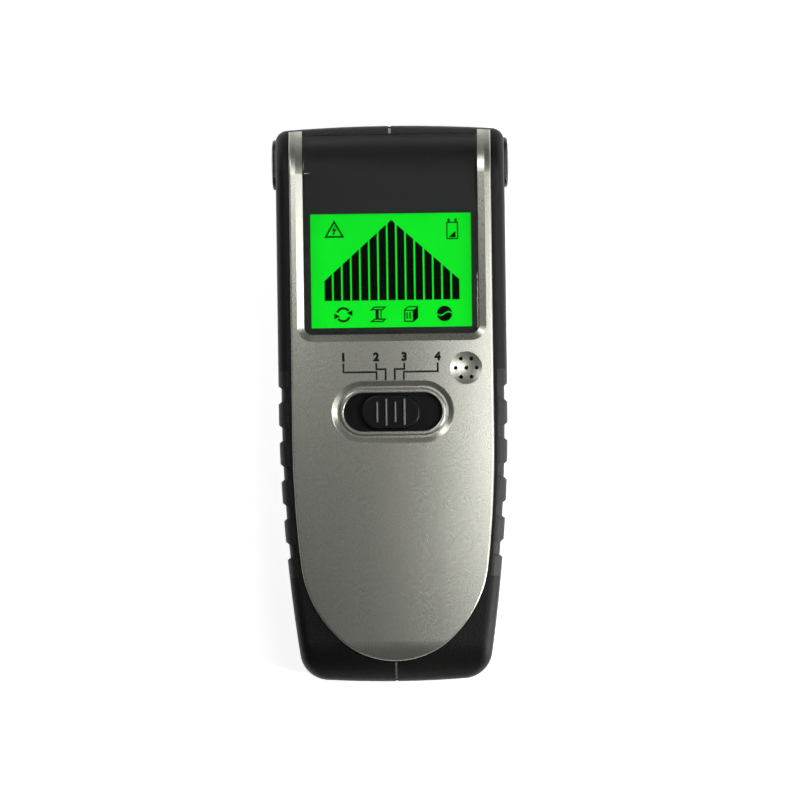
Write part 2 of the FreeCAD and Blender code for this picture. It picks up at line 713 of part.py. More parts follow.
def mode_switch_slider():
    x, y = KNOB_X, SWITCH_Y
    shoe = box(x - 2, x + 2, y - 1.5, y + 1.5, 18.4, 19.9)
    return shoe.fuse(box(x - 1, x + 1, y - 0.8, y + 0.8, 19.8, LEVER_TOP)).removeSplitter()


# ---- side buttons ----
def button_rod(x0, x1, radius):
    """A round bar on the button's line of travel."""
    return rod(Vector(x0, BUTTON_Y, BUTTON_Z), Vector(x1, BUTTON_Y, BUTTON_Z), radius)


def on_button_rim(edge):
    """True for an edge between the cap's crowned face and its side wall."""
    point = edge.valueAt((edge.FirstParameter + edge.LastParameter) / 2)
    reach = (BUTTON_LENGTH - BUTTON_HEIGHT) / 2
    across = math.hypot(max(abs(point.y - BUTTON_Y) - reach, 0), point.z - BUTTON_Z)
    return point.x > side_x(BUTTON_Y) and abs(across - BUTTON_HEIGHT / 2) < 0.01


def side_button():
    outer = side_x(BUTTON_Y) + BUTTON_RISE
    inner = side_x(BUTTON_Y, SIDE_WALL)
    cap = side_stadium(BUTTON_Y, BUTTON_Z, BUTTON_LENGTH, BUTTON_HEIGHT, inner - 1.2, outer + 2)
    long_radius = ((BUTTON_LENGTH / 2) ** 2 + BUTTON_CROWN ** 2) / (2 * BUTTON_CROWN)
    cap = cap.common(pin(outer - long_radius, BUTTON_Y, 0, 30, long_radius))
    cross_radius = ((BUTTON_HEIGHT / 2) ** 2 + BUTTON_CROWN ** 2) / (2 * BUTTON_CROWN)
    start = Vector(outer - cross_radius, BUTTON_Y - 20, BUTTON_Z)
    cap = cap.common(rod(start, start + Vector(0, 40, 0), cross_radius))
    rim = [edge for edge in cap.Edges if on_button_rim(edge)]
    cap = cap.makeFillet(BUTTON_EDGE, rim)
    half = BUTTON_HEIGHT / 2 + 0.9
    x1 = inner - FIT
    x0 = x1 - FLANGE_THICK
    flange = box(x0, x1, BUTTON_Y - 7, BUTTON_Y + 6.3, BUTTON_Z - half, BUTTON_Z + half)
    stem = button_rod(TACT_OUTER + 1.25, inner - 1, 1.5)
    return cap.fuse([flange, stem]).removeSplitter()


def tact_switch():
    inner = TACT_OUTER - TACT_DEPTH
    body = box(inner, TACT_OUTER, BUTTON_Y - 2.6, BUTTON_Y + 2.6, BUTTON_Z - 2.6, BOARD_LOW - SOLDER)
    return body.cut(button_rod(TACT_OUTER - 2.1, TACT_OUTER + 1, 1.6))


def tact_plunger():
    return button_rod(TACT_OUTER - 1.1, TACT_OUTER + 1.2, 1.5)


# ---- rubber grips ----
def side_grip(block):
    """The right grip: it follows the case's side and shoulder and has notches for the fingers."""
    grip = grip_band(case_block(GRIP_DEPTH - SOLDER), -SOLDER).common(block)
    floor = case_block(NOTCH_DEPTH)
    half = NOTCH_LENGTH / 2
    cuts = []
    for index in range(NOTCHES):
        y = NOTCH_FIRST - index * NOTCH_PITCH
        foot = side_x(y) - NOTCH_DEPTH
        mouth = half + NOTCH_SLOPE * (1 / NOTCH_DEPTH)
        points = ((20, y - half + NOTCH_SLOPE), (foot, y - half + NOTCH_SLOPE), (foot + 1 + NOTCH_DEPTH, y - mouth),
                  (foot + 1 + NOTCH_DEPTH, y + mouth), (foot, y + half - NOTCH_SLOPE), (20, y + half - NOTCH_SLOPE))
        cuts.append(polygon_prism(points, -5, 40).cut(floor))
    return grip.cut(cuts)


# ---- boards and what they carry ----
def board(half, south, z0, z1, posts, hole):
    plate = box(-half, half, south, BOARD_NORTH, z0, z1)
    x, y = BOSS_TOP
    reach = x + BOSS_RADIUS + 0.6
    cuts = [box(-reach, reach, y - BOSS_RADIUS - 0.6, 90, z0 - 1, z1 + 1)]
    cuts += [pin(px, py, z0 - 1, z1 + 1, hole) for px, py in posts]
    return plate.cut(cuts)


def small_screw(x, y, seat, towards, head_height, reach, radius):
    """A pan-head screw: its head stands on seat, and its shank goes the way of towards (1 up, -1 down)."""
    h0, h1 = sorted((seat, seat - towards * head_height))
    s0, s1 = sorted((seat, seat + towards * reach))
    head = pin(x, y, h0, h1, radius * 2.3)
    return head.fuse(pin(x, y, s0, s1, radius))


def board_screws():
    return group([small_screw(x, y, BOARD_LOW - SOLDER, 1, 1.4, 5.2, 0.8) for x, y in BOARD_POSTS])


def sensor_board_screws():
    return group([small_screw(x, y, SENSOR_TOP + SOLDER, -1, 1.3, 3.0, 0.7) for x, y in SENSOR_POSTS])


def sensor_plates():
    pads = []
    for south, north in ((30, 41), (43, 54), (56, 67)):
        pads.append(box(-22, 22, south, north, SENSOR_LOW - 0.12, SENSOR_LOW - SOLDER))
    return group(pads)


COIL_Y = 44.0
HEADER_Y = 65.0
COIL_LOW = SENSOR_TOP + 0.05
COIL_HIGH = 8.6


def coil_bobbin():
    spool = ring(0, COIL_Y, COIL_LOW, COIL_HIGH, 17.5, 10.5)
    return spool.cut(ring(0, COIL_Y, COIL_LOW + 0.8, COIL_HIGH - 0.8, 18, 12))


def detector_coil():
    return ring(0, COIL_Y, COIL_LOW + 0.85, COIL_HIGH - 0.85, 16.9, 12.05)


def coil_core():
    return ring(0, COIL_Y, COIL_LOW, COIL_HIGH - 0.6, 10.4, 3.0)


HEADER_PINS = 5
HEADER_PITCH = 2.54


def header_places():
    return [((index - (HEADER_PINS - 1) / 2) * HEADER_PITCH, HEADER_Y) for index in range(HEADER_PINS)]


def link_header():
    block = box(-6.5, 6.5, HEADER_Y - 1.25, HEADER_Y + 1.25, SENSOR_TOP + SOLDER, 6.7)
    return block.cut([pin(x, y, 4, 8, 0.36) for x, y in header_places()])


def link_pins():
    return group([pin(x, y, SENSOR_TOP + SOLDER, BOARD_LOW - SOLDER, 0.32) for x, y in header_places()])


def chip(x, y, width, length, z0, z1):
    body = box(x - width / 2, x + width / 2, y - length / 2, y + length / 2, z0, z1)
    return body.makeFillet(0.2, [edge for edge in body.Edges if edge.BoundBox.ZLength > 0.1])


def driver_chips():
    top = chip(7, 11, 5.2, 8.6, BOARD_TOP + SOLDER, 18.6)
    under = [chip(x, 32, 5.2, 8.6, 13.8, BOARD_LOW - SOLDER) for x in (-10, 10)]
    return group([top, *under])


def chip_components():
    parts = []
    for row in range(5):
        for column in range(6):
            x = -20 + column * 8 + (row % 2) * 1.5
            y = -8 + row * 7.2
            parts.append(box(x - 0.8, x + 0.8, y - 0.4, y + 0.4, BOARD_LOW - 0.6, BOARD_LOW - SOLDER))
    return group(parts)


def capacitors():
    cans = []
    for x in (-15.5, -9.0):
        can = pin(x, -12.8, BOARD_TOP + SOLDER, 21.6, 2.5)
        cans.append(can.makeFillet(0.4, [edge for edge in can.Edges if edge.BoundBox.ZMin > 21.5]))
    return group(cans)


def crystal():
    can = box(4.0, 15.0, -15.2, -10.8, BOARD_TOP + SOLDER, 20.2)
    return round_upright(can, 2.1)


def buzzer():
    can = pin(GRILLE_X, GRILLE_Y, BOARD_TOP + SOLDER, 21.8, 6.0)
    can = can.makeFillet(0.4, [edge for edge in can.Edges if edge.BoundBox.ZMin > 21.7])
    return can.cut(pin(GRILLE_X, GRILLE_Y, 20.6, 30, 1.1))


def buzzer_gasket():
    return ring(GRILLE_X, GRILLE_Y, 21.85, 22.85, 5.5, 4.2)


# ---- battery ----
BATTERY_MIDDLE = BATTERY_LOW + BATTERY_THICK / 2
BATTERY_NORTH = BATTERY_SOUTH + BATTERY_LENGTH
SNAP_SOUTH = BATTERY_NORTH + 0.2
SNAP_NORTH = BATTERY_NORTH + 4.8


def along_y(x, z, y0, y1, radius):
    return rod(Vector(x, y0, z), Vector(x, y1, z), radius)


def battery():
    half = BATTERY_WIDTH / 2
    can = box(-half, half, BATTERY_SOUTH, BATTERY_NORTH, BATTERY_LOW, BATTERY_LOW + BATTERY_THICK)
    return can.makeFillet(2.0, [edge for edge in can.Edges if edge.BoundBox.YLength > 10])


def terminal_x():
    return TERMINAL_SPREAD / 2


def battery_terminals():
    y0, y1 = BATTERY_NORTH, BATTERY_NORTH + TERMINAL_RISE
    stud = along_y(terminal_x(), BATTERY_MIDDLE, y0, y1, 2.85)
    cup = along_y(-terminal_x(), BATTERY_MIDDLE, y0, y1, 4.1)
    return group([stud, cup.cut(along_y(-terminal_x(), BATTERY_MIDDLE, y0 + 0.2, y1 + 1, 3.1))])


def battery_snap():
    snap = box(-13, 13, SNAP_SOUTH, SNAP_NORTH, BATTERY_MIDDLE - 6.2, BATTERY_MIDDLE + 6.2)
    snap = snap.makeFillet(1.5, [edge for edge in snap.Edges if edge.BoundBox.YLength > 4])
    places = (-terminal_x(), terminal_x())
    wells = [along_y(x, BATTERY_MIDDLE, SNAP_SOUTH - 1, SNAP_SOUTH + 2.8, 4.7) for x in places]
    return snap.cut(wells)


def snap_contacts():
    floor = SNAP_SOUTH + 2.78
    socket = along_y(terminal_x(), BATTERY_MIDDLE, SNAP_SOUTH, floor, 4.3)
    socket = socket.cut(along_y(terminal_x(), BATTERY_MIDDLE, SNAP_SOUTH - 1, floor - 0.4, 2.95))
    stud = along_y(-terminal_x(), BATTERY_MIDDLE, SNAP_SOUTH + 0.3, floor, 2.9)
    base = along_y(-terminal_x(), BATTERY_MIDDLE, floor - 0.4, floor, 4.3)
    return group([socket, stud.fuse(base)])


def lead(side):
    """A wire from the snap, over the compartment's end wall, to its pad under the main board."""
    radius = 0.65
    z = BATTERY_MIDDLE
    points = [
        Vector(side * 3.0, SNAP_NORTH, z),
        Vector(side * 3.0, SNAP_NORTH + 6.5, z),
        Vector(side * 6.5, SNAP_NORTH + 12.0, z - 0.6),
        Vector(side * 6.5, SNAP_NORTH + 12.0, BOARD_LOW - SOLDER),
    ]
    edges = []
    start = points[0]
    for before, corner, after in zip(points, points[1:], points[2:]):
        back = (before - corner).normalize()
        ahead = (after - corner).normalize()
        turn = math.pi - back.getAngle(ahead)
        reach = min((before - corner).Length, (after - corner).Length) * 0.45
        bend = reach / math.tan(turn / 2)
        first = corner + back * reach
        last = corner + ahead * reach
        inward = (back + ahead).normalize()
        middle = corner + inward * (bend / math.cos(turn / 2) - bend)
        edges.append(Part.LineSegment(start, first).toShape())
        edges.append(Part.Arc(first, middle, last).toShape())
        start = last
    edges.append(Part.LineSegment(start, points[-1]).toShape())
    circle = Part.Wire(Part.makeCircle(radius, points[0], Y_AXIS))
    return Part.Wire(edges).makePipeShell([circle], True, False)


def battery_pad():
    return box(-8, 8, -62, -40, BATTERY_LOW + BATTERY_THICK + 0.05, 23.2)


# ---- the whole object ----
def build():
    block = case_block()
    cavity = case_prism(SIDE_WALL, BACK_WALL, 45).common(below(CEILING))
    grip = side_grip(block)
    button = side_button()
    tact = tact_switch()
    plunger = tact_plunger()
    return {
        "front_shell": front_shell(block, cavity),
        "rear_shell": rear_shell(block, cavity),
        "face_plate": face_plate(),
        "display_lens": display_lens(),
        "lens_mask": lens_mask(),
        "right_grip": grip,
        "left_grip": mirrored(grip),
        "right_button": button,
        "left_button": mirrored(button),
        "right_plunger": plunger,
        "left_plunger": mirrored(plunger),
        "right_tact_switch": tact,
        "left_tact_switch": mirrored(tact),
        "switch_knob": switch_knob(),
        "mode_switch_slider": mode_switch_slider(),
        "mode_switch_body": mode_switch_body(),
        "battery_door": battery_door(block),
        "rating_label": rating_label(),
        "case_screws": case_screws(),
        "lcd_glass": lcd_glass(),
        "backlight_panel": backlight_panel(),
        "backlight_lamps": backlight_lamps(),
        "lcd_contact_strips": lcd_contact_strips(),
        "lcd_frame": lcd_frame(),
        "main_board": board(BOARD_HALF, BOARD_SOUTH, BOARD_LOW, BOARD_TOP, BOARD_POSTS, 1.1),
        "board_screws": board_screws(),
        "microcontroller": chip(-9, 11, 10, 10, BOARD_TOP + SOLDER, 18.5),
        "driver_chips": driver_chips(),
        "chip_components": chip_components(),
        "capacitors": capacitors(),
        "crystal": crystal(),
        "buzzer": buzzer(),
        "buzzer_gasket": buzzer_gasket(),
        "sensor_board": board(25.5, 20.0, SENSOR_LOW, SENSOR_TOP, SENSOR_POSTS, 1.0),
        "sensor_board_screws": sensor_board_screws(),
        "sensor_plates": sensor_plates(),
        "coil_bobbin": coil_bobbin(),
        "detector_coil": detector_coil(),
        "coil_core": coil_core(),
        "link_header": link_header(),
        "link_pins": link_pins(),
        "battery": battery(),
        "battery_terminals": battery_terminals(),
        "battery_snap": battery_snap(),
        "snap_contacts": snap_contacts(),
        "red_wire": lead(1),
        "black_wire": lead(-1),
        "battery_pad": battery_pad(),
    }


os.makedirs("parts", exist_ok=True)
for name, shape in build().items():
    shape.exportStep(f"parts/{name}.step")
    print(f"{name:22} solids {len(shape.Solids):2} valid {shape.isValid()} volume {shape.Volume:9.1f}")
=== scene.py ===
import math

import bmesh
import bpy
from mathutils import Matrix, Vector
from mathutils.bvhtree import BVHTree
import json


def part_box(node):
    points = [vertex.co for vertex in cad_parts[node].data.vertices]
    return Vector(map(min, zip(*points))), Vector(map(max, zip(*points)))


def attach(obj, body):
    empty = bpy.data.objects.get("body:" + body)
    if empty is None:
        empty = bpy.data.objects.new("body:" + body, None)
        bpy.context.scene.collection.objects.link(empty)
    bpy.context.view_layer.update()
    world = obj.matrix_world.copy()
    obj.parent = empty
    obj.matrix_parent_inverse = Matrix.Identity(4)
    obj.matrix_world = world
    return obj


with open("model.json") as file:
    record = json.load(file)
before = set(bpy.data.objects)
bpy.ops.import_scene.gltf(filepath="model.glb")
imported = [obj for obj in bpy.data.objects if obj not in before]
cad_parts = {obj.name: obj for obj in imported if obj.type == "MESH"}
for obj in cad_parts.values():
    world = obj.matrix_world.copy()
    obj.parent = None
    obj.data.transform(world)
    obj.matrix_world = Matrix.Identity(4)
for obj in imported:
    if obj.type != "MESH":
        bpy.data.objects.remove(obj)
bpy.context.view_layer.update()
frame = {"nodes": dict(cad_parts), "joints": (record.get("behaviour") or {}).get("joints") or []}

MM = 0.001
NODES = frame["nodes"]

# The object lies on its back: +Z out of the display, +Y to the sensor end, +X to the right.
# Lengths below are in millimetres, and MM turns them into the scene's metres.


# ---------------------------------------------------------------- node trees
class NodeTree:
    """Short ways to add nodes. A value is a number, a vector or another node's output."""

    def __init__(self, holder):
        holder.use_nodes = True
        self.tree = holder.node_tree
        self.place = None

    def put(self, value, socket):
        if isinstance(value, bpy.types.NodeSocket):
            self.tree.links.new(value, socket)
        else:
            socket.default_value = value

    def maths(self, operation, *values):
        node = self.tree.nodes.new("ShaderNodeMath")
        node.operation = operation
        for socket, value in zip(node.inputs, values):
            self.put(value, socket)
        return node.outputs[0]

    def maths_vector(self, operation, *values, output="Vector"):
        node = self.tree.nodes.new("ShaderNodeVectorMath")
        node.operation = operation
        for socket, value in zip(node.inputs, values):
            self.put(value, socket)
        return node.outputs[output]

    def ramp(self, value, low, high, out_low=0.0, out_high=1.0, smooth=False):
        node = self.tree.nodes.new("ShaderNodeMapRange")
        node.interpolation_type = "SMOOTHSTEP" if smooth else "LINEAR"
        for name, given in (("Value", value), ("From Min", low), ("From Max", high),
                            ("To Min", out_low), ("To Max", out_high)):
            self.put(given, node.inputs[name])
        return node.outputs["Result"]

    def axis(self, letter):
        node = self.tree.nodes.new("ShaderNodeSeparateXYZ")
        self.put(self.place, node.inputs[0])
        return node.outputs[letter]


class Graph(NodeTree):
    """A material's node tree. Patterns are laid out in millimetres of the piece's own space."""

    def __init__(self, name):
        self.material = bpy.data.materials.new(name)
        super().__init__(self.material)
        self.tree.nodes.clear()
        output = self.tree.nodes.new("ShaderNodeOutputMaterial")
        self.shader = self.tree.nodes.new("ShaderNodeBsdfPrincipled")
        self.tree.links.new(self.shader.outputs["BSDF"], output.inputs["Surface"])
        place = self.tree.nodes.new("ShaderNodeTexCoord").outputs["Object"]
        self.place = self.maths_vector("MULTIPLY", place, (1 / MM, 1 / MM, 1 / MM))

    def set(self, name, value):
        self.put(value, self.shader.inputs[name])

    def stretched(self, x, y, z):
        return self.maths_vector("MULTIPLY", self.place, (x, y, z))

    def noise(self, per_mm, detail=2.0, place=None):
        node = self.tree.nodes.new("ShaderNodeTexNoise")
        self.put(place or self.place, node.inputs["Vector"])
        node.inputs["Scale"].default_value = per_mm
        node.inputs["Detail"].default_value = detail
        return node.outputs["Fac"]

    def cells(self, per_mm, output="Distance"):
        node = self.tree.nodes.new("ShaderNodeTexVoronoi")
        self.put(self.place, node.inputs["Vector"])
        node.inputs["Scale"].default_value = per_mm
        node.inputs["Randomness"].default_value = 1.0
        return node.outputs[output]

    def blend(self, factor, first, second):
        node = self.tree.nodes.new("ShaderNodeMix")
        node.data_type = "RGBA"
        self.put(factor, node.inputs["Factor"])
        self.put(rgba(first), node.inputs[6])
        self.put(rgba(second), node.inputs[7])
        return node.outputs[2]

    def bump(self, height, depth_mm):
        node = self.tree.nodes.new("ShaderNodeBump")
        node.inputs["Distance"].default_value = depth_mm * MM
        node.inputs["Strength"].default_value = 1.0
        self.put(height, node.inputs["Height"])
        self.put(node.outputs["Normal"], self.shader.inputs["Normal"])


def rgba(value):
    if isinstance(value, bpy.types.NodeSocket):
        return value
    return (*value, 1.0)


def moulded(name, dark, light, rough, grain_per_mm=2.2, grain_mm=0.04, patch_per_mm=0.05):
    """Moulded plastic or rubber: a fine eroded grain, and slow changes of tone and gloss."""
    graph = Graph(name)
    grain = graph.noise(grain_per_mm, 3.0)
    pits = graph.cells(grain_per_mm * 0.8)
    patch = graph.noise(patch_per_mm, 3.0)
    tone = graph.maths("MULTIPLY_ADD", grain, 0.6, graph.ramp(patch, 0.3, 0.7, 0, 0.4))
    graph.set("Base Color", graph.blend(tone, dark, light))
    gloss = graph.maths("ADD", grain, patch)
    graph.set("Roughness", graph.ramp(gloss, 0.6, 1.4, rough - 0.06, rough + 0.08))
    graph.bump(graph.maths("ADD", grain, graph.maths("MULTIPLY", pits, 0.6)), grain_mm)
    return graph


def metal(name, color, rough, brush=(0.4, 8.0, 0.4)):
    """Plated or drawn metal, with fine lines along one way."""
    graph = Graph(name)
    lines = graph.noise(1.0, 3.0, graph.stretched(*brush))
    dark = tuple(value * 0.75 for value in color)
    graph.set("Base Color", graph.blend(graph.ramp(lines, 0.3, 0.7), dark, color))
    graph.set("Metallic", 1.0)
    graph.set("Roughness", graph.ramp(lines, 0.25, 0.75, rough - 0.07, rough + 0.1))
    graph.bump(lines, 0.01)
    return graph


# ---------------------------------------------------------------- materials of the outside
def silver_paint():
    graph = Graph("silver_paint")
    flake = graph.cells(3.4, "Color")
    split = graph.tree.nodes.new("ShaderNodeSeparateColor")
    graph.put(flake, split.inputs[0])
    fine = graph.noise(5.0, 2.0)
    cloud = graph.noise(0.03, 2.0)
    spark = graph.ramp(split.outputs[0], 0.0, 1.0, 0.05, 0.3)
    tone = graph.maths("ADD", spark, graph.maths("MULTIPLY", cloud, 0.6))
    graph.set("Base Color", graph.blend(tone, (0.40, 0.40, 0.35), (0.52, 0.52, 0.46)))
    graph.set("Metallic", 0.82)
    graph.set("Roughness", graph.ramp(fine, 0.3, 0.7, 0.26, 0.30))
    height = graph.maths("ADD", graph.maths("MULTIPLY", split.outputs[1], 0.5), fine)
    graph.bump(height, 0.0012)
    return graph.material


def black_case():
    graph = moulded("black_case", (0.0025, 0.003, 0.0025), (0.009, 0.0095, 0.0085), 0.44, 2.4, 0.09)
    graph.set("Specular IOR Level", 0.2)
    return graph.material


def grip_rubber():
    graph = moulded("grip_rubber", (0.004, 0.0045, 0.004), (0.012, 0.0125, 0.011), 0.46, 2.2, 0.09)
    graph.set("Specular IOR Level", 0.36)
    return graph.material


def button_plastic():
    graph = moulded("button_plastic", (0.008, 0.008, 0.008), (0.016, 0.016, 0.015), 0.26, 3.0, 0.02)
    return graph.material


def knob_plastic():
    """Semi-gloss black whose ridges' crests are paler and duller: partly rubbed wear, partly a painted
    highlight.
    """
    graph = Graph("knob_plastic")
    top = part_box("switch_knob")[1].z / MM
    grain = graph.noise(3.2, 3.0)
    crest = graph.ramp(graph.axis("Z"), top - 0.14, top - 0.02, 0.0, 1.0, smooth=True)
    wear_and_sheen = graph.maths("MULTIPLY", crest, graph.ramp(grain, 0.35, 0.65, 0.5, 1.0))
    # The paler crest colour is partly wear and partly a painted highlight along the ribs.
    graph.set("Base Color", graph.blend(wear_and_sheen, (0.002, 0.003, 0.003), (0.26, 0.26, 0.25)))
    graph.set("Roughness", graph.ramp(wear_and_sheen, 0.0, 1.0, 0.30, 0.42))
    graph.set("Specular IOR Level", 0.25)
    graph.bump(grain, 0.02)
    return graph.material


def clear_lens():
    """Smoke-tinted acrylic, polished, with the faintest moulding ripple."""
    graph = Graph("clear_lens")
    ripple = graph.noise(0.06, 1.0)
    smear = graph.noise(0.5, 4.0)
    graph.set("Base Color", graph.blend(smear, (0.93, 0.95, 0.94), (0.97, 0.98, 0.97)))
    graph.set("Transmission Weight", 1.0)
    graph.set("IOR", 1.49)
    graph.set("Roughness", graph.ramp(smear, 0.4, 0.8, 0.0, 0.03))
    graph.bump(ripple, 0.015)
    return graph.material


def mask_print():
    graph = Graph("mask_print")
    speck = graph.noise(2.0, 2.0)
    graph.set("Base Color", graph.blend(speck, (0.010, 0.0105, 0.009), (0.018, 0.019, 0.0165)))
    graph.set("Roughness", graph.ramp(speck, 0.3, 0.7, 0.45, 0.6))
    return graph.material


GLOW_FALLS_FROM = 18.0    # how far from the display's middle its glow starts to fall, to each side


def lcd_glow():
    """The lit display: even green, dimmer at its left and right rims and a little towards the top."""
    graph = Graph("lcd_glow")
    low, high = (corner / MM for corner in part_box("lcd_glass"))
    off_middle = graph.maths("ABSOLUTE", graph.axis("X"))
    across = graph.ramp(off_middle, GLOW_FALLS_FROM, high.x, 1.0, 0.86, smooth=True)
    along = graph.ramp(graph.axis("Y"), low.y, high.y, 1.03, 0.97)
    cloud = graph.ramp(graph.noise(0.09, 1.0), 0.3, 0.7, 0.97, 1.03)
    level = graph.maths("MULTIPLY", graph.maths("MULTIPLY", across, along), cloud)
    mottle = graph.noise(0.2, 2.0)
    graph.set("Base Color", graph.blend(mottle, (0.004, 0.08, 0.010), (0.005, 0.10, 0.012)))
    graph.set("Roughness", 0.6)
    graph.set("Specular IOR Level", 0.1)
    graph.set("Emission Color", (0.0, 0.84, 0.014, 1.0))
    graph.set("Emission Strength", level)
    return graph.material


def ink(name, color, rough=0.5):
    graph = Graph(name)
    speck = graph.noise(3.0, 2.0)
    paler = tuple(value * 1.6 + 0.002 for value in color)
    graph.set("Base Color", graph.blend(speck, color, paler))
    graph.set("Roughness", graph.ramp(speck, 0.3, 0.7, rough - 0.05, rough + 0.08))
    graph.set("Specular IOR Level", 0.15)
    return graph.material


BORDER_INSET = 1.3        # the sticker's printed border, from its edge
BORDER_WIDTH = 0.5


def sticker():
    """A blank satin sticker: a printed border and empty fields, with paper tooth."""
    graph = Graph("sticker")
    low, high = (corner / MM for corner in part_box("rating_label"))
    middle = (low + high) / 2
    half = (high - low) / 2
    off_x = graph.maths("ABSOLUTE", graph.maths("SUBTRACT", graph.axis("X"), middle.x))
    off_y = graph.maths("ABSOLUTE", graph.maths("SUBTRACT", graph.axis("Y"), middle.y))
    to_side = graph.maths("SUBTRACT", half.x, off_x)
    to_end = graph.maths("SUBTRACT", half.y, off_y)
    edge = graph.maths("MINIMUM", to_side, to_end)
    past_rim = graph.maths("GREATER_THAN", edge, BORDER_INSET)
    before_field = graph.maths("LESS_THAN", edge, BORDER_INSET + BORDER_WIDTH)
    border = graph.maths("MULTIPLY", past_rim, before_field)
    tooth = graph.noise(4.0, 3.0)
    graph.set("Base Color", graph.blend(border, (0.50, 0.51, 0.51), (0.03, 0.03, 0.03)))
    graph.set("Roughness", graph.ramp(tooth, 0.3, 0.7, 0.40, 0.55))
    graph.bump(tooth, 0.01)
    return graph.material


BOND_DEPTH = 0.02


def bond_mask():
    """Lets the printed film bite a hair's breadth into the lens, so that no air shows between them."""
    bond = NODES["lens_mask"].modifiers.new("bond", "DISPLACE")
    bond.mid_level = 0.0
    bond.strength = BOND_DEPTH * MM


def show(node, material):
    mesh = NODES[node].data
    mesh.materials.clear()
    mesh.materials.append(material)


def dress_nodes():
    case = black_case()
    rubber = grip_rubber()
    button = button_plastic()
    looks = {
        "front_shell": case, "rear_shell": case, "battery_door": case,
        "face_plate": silver_paint(), "display_lens": clear_lens(), "lens_mask": mask_print(),
        "lcd_glass": lcd_glow(), "left_grip": rubber, "right_grip": rubber,
        "left_button": button, "right_button": button, "switch_knob": knob_plastic(),
        "rating_label": sticker(),
    }
    steel = metal("zinc_steel", (0.55, 0.55, 0.56), 0.32).material
    switch = moulded("switch_black", (0.012, 0.012, 0.012), (0.03, 0.03, 0.03), 0.45).material
    board = moulded("board_green", (0.008, 0.07, 0.02), (0.015, 0.11, 0.035), 0.3, 0.6, 0.01).material
    chip = moulded("chip_black", (0.012, 0.012, 0.012), (0.03, 0.03, 0.03), 0.55, 4.0, 0.02).material
    soft = moulded("soft_black", (0.02, 0.02, 0.02), (0.05, 0.05, 0.05), 0.7, 3.0, 0.08).material
    white = moulded("white_plastic", (0.6, 0.6, 0.58), (0.75, 0.75, 0.72), 0.4).material
    copper = metal("copper", (0.75, 0.34, 0.18), 0.3, (0.4, 0.4, 9.0)).material
    tin = metal("tinned", (0.7, 0.69, 0.65), 0.25).material
    for nodes, material in (
        (("case_screws", "board_screws", "sensor_board_screws"), steel),
        (("mode_switch_body", "mode_switch_slider", "left_tact_switch", "right_tact_switch",
          "left_plunger", "right_plunger", "link_header", "buzzer"), switch),
        (("main_board", "sensor_board"), board),
        (("microcontroller", "driver_chips", "chip_components"), chip),
        (("lcd_contact_strips", "buzzer_gasket", "battery_pad", "battery_snap"), soft),
        (("lcd_frame", "coil_bobbin"), white),
        (("sensor_plates", "detector_coil"), copper),
        (("link_pins", "battery_terminals", "snap_contacts", "crystal"), tin),
    ):
        looks.update({node: material for node in nodes})
    for node, look in (
        ("backlight_panel", ("light_guide", (0.35, 0.75, 0.35), (0.45, 0.85, 0.45), 0.3)),
        ("backlight_lamps", ("lamp_resin", (0.6, 0.8, 0.5), (0.7, 0.9, 0.6), 0.2)),
        ("capacitors", ("can_sleeve", (0.02, 0.02, 0.06), (0.04, 0.04, 0.10), 0.3)),
        ("coil_core", ("ferrite", (0.03, 0.03, 0.03), (0.06, 0.06, 0.06), 0.6, 1.5, 0.05)),
        ("battery", ("battery_jacket", (0.03, 0.03, 0.035), (0.06, 0.06, 0.07), 0.3, 0.8, 0.01)),
        ("red_wire", ("red_vinyl", (0.35, 0.01, 0.01), (0.5, 0.02, 0.02), 0.4)),
        ("black_wire", ("black_vinyl", (0.01, 0.01, 0.01), (0.03, 0.03, 0.03), 0.4)),
    ):
        looks[node] = moulded(*look).material
    for node, material in looks.items():
        show(node, material)


# ---------------------------------------------------------------- flat printed shapes
INK_THICK = 0.03
LCD_INK_THICK = 0.04
LCD_INK_GAP = 0.02        # so that no ink face lies in the glass's own face
MARK_THICK = 0.05
RAY_START = 0.1           # metres, clear above every surface that is printed on


def band(points, width, closed=False):
    """The two edges of a line of that width through the points, mitred, as a strip of quads."""
    count = len(points)
    lefts, rights = [], []
    for index in range(count):
        here = Vector(points[index])
        before = Vector(points[index - 1]) if index or closed else None
        after = Vector(points[(index + 1) % count]) if index < count - 1 or closed else None
        along_in = (here - before).normalized() if before is not None else (after - here).normalized()
        along_out = (after - here).normalized() if after is not None else along_in
        across = Vector((-(along_in + along_out).y, (along_in + along_out).x)).normalized()
        normal = Vector((-along_in.y, along_in.x))
        reach = width / 2 / max(across.dot(normal), 0.3)
        lefts.append(here + across * reach)
        rights.append(here - across * reach)
    quads = []
    for index in range(count if closed else count - 1):
        following = (index + 1) % count
        quads.append([lefts[index], rights[index], rights[following], lefts[following]])
    return quads


def arc(centre, radius, start, end, steps=16):
    """Points along an arc, from start to end in degrees."""
    points = []
    for index in range(steps + 1):
        angle = math.radians(start + (end - start) * index / steps)
        points.append((centre[0] + radius * math.cos(angle), centre[1] + radius * math.sin(angle)))
    return points


def moved(polygons, dx, dy):
    return [[(point[0] + dx, point[1] + dy) for point in polygon] for polygon in polygons]


